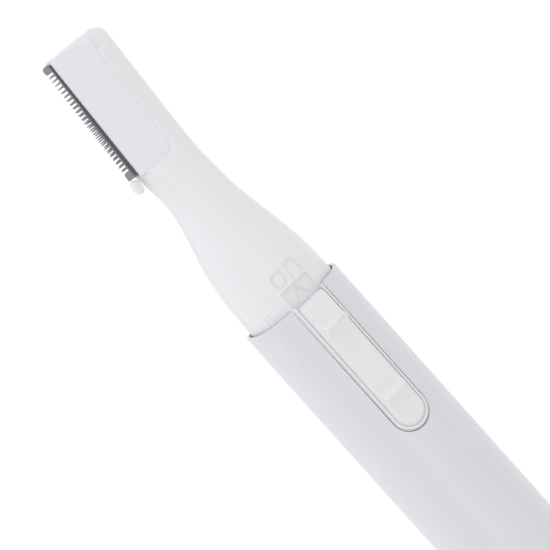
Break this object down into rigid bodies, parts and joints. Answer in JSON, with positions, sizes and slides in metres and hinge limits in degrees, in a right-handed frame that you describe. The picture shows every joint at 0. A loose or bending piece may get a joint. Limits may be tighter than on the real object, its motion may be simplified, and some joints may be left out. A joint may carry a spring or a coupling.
{
  "type": "facial hair trimmer",
  "caption": "Slim pen-shaped battery hair trimmer: canted head with a toothed side blade, waisted neck, thumb slide switch and a pull-off barrel over the cell.",
  "frame": {"origin": "centre of the flat tail face of the barrel", "axes": "+X along the barrel towards the blade head, +Y towards the blade's teeth, +Z out of the slide switch"},
  "size_m": [0.1437, 0.016, 0.0181],
  "materials": {
    "white_abs": "white ABS, smooth and slightly glossy",
    "barrel_paint": "thin drawn tube, pearl lavender-grey paint",
    "blade_steel": "ground steel",
    "dark_acetal": "dark navy acetal",
    "natural_acetal": "natural acetal",
    "brass": "stamped brass",
    "spring_steel": "plated spring wire",
    "motor_steel": "zinc-plated drawn can",
    "ferrite": "sintered ferrite",
    "lamination": "steel laminations with windings",
    "cell_jacket": "plain printed jacket with no name",
    "red_pvc": "PVC wire insulation",
    "black_pvc": "PVC wire insulation"
  },
  "bodies": {
    "chassis": {"front_shell": "white_abs", "rear_shell": "white_abs", "shell_screw_left": "blade_steel", "shell_screw_right": "blade_steel", "switch_base": "dark_acetal", "supply_contact": "brass", "motor_contact": "brass", "positive_lead": "red_pvc", "negative_lead": "black_pvc", "motor_lead": "red_pvc", "aaa_cell": "cell_jacket", "positive_contact": "brass", "negative_contact": "brass", "battery_spring": "spring_steel", "motor_can": "motor_steel", "motor_end_bell": "dark_acetal", "motor_magnet": "ferrite", "motor_terminal_left": "brass", "motor_terminal_right": "brass", "lever_pivot_pin": "blade_steel"},
    "switch": {"switch_slider": "white_abs", "switch_carrier": "natural_acetal", "contact_bridge": "brass"},
    "sleeve": {"barrel_sleeve": "barrel_paint", "barrel_end_cap": "white_abs"},
    "rotor": {"motor_shaft": "blade_steel", "motor_rotor": "lamination", "eccentric_cam": "natural_acetal"},
    "lever": {"drive_lever": "dark_acetal"},
    "blade_block": {"blade_cover": "white_abs", "blade_clamp": "dark_acetal", "blade_holder": "white_abs", "comb_blade": "blade_steel", "cutter_spring": "spring_steel"},
    "cutter": {"cutter_blade": "blade_steel", "cutter_follower": "dark_acetal"}
  },
  "joints": [
    {"name": "power_slide", "type": "slide", "parent": "chassis", "child": "switch", "axis": [1, 0, 0], "range_m": [0, 0.0028]},
    {"name": "sleeve_slide", "type": "slide", "parent": "chassis", "child": "sleeve", "axis": [-1, 0, 0], "range_m": [0, 0.09]},
    {"name": "motor_spin", "type": "hinge", "parent": "chassis", "child": "rotor", "pos_m": [0.096, 0, 0], "axis": [1, 0, 0], "continuous": true},
    {"name": "lever_swing", "type": "hinge", "parent": "chassis", "child": "lever", "pos_m": [0.12051, 0.00017, 0], "axis": [0, 0, 1], "range_deg": [-4.5, 4.5]},
    {"name": "blade_release", "type": "slide", "parent": "chassis", "child": "blade_block", "axis": [0.0698, 0.9976, 0], "range_m": [0, 0.009]},
    {"name": "cutter_slide", "type": "slide", "parent": "blade_block", "child": "cutter", "axis": [0.9976, -0.0698, 0], "range_m": [-0.000266, 0.000266]}
  ],
  "couplings": [
    {"joint": "lever_swing", "follows": "cutter_slide", "rad_per_m": -294.12}
  ]
}
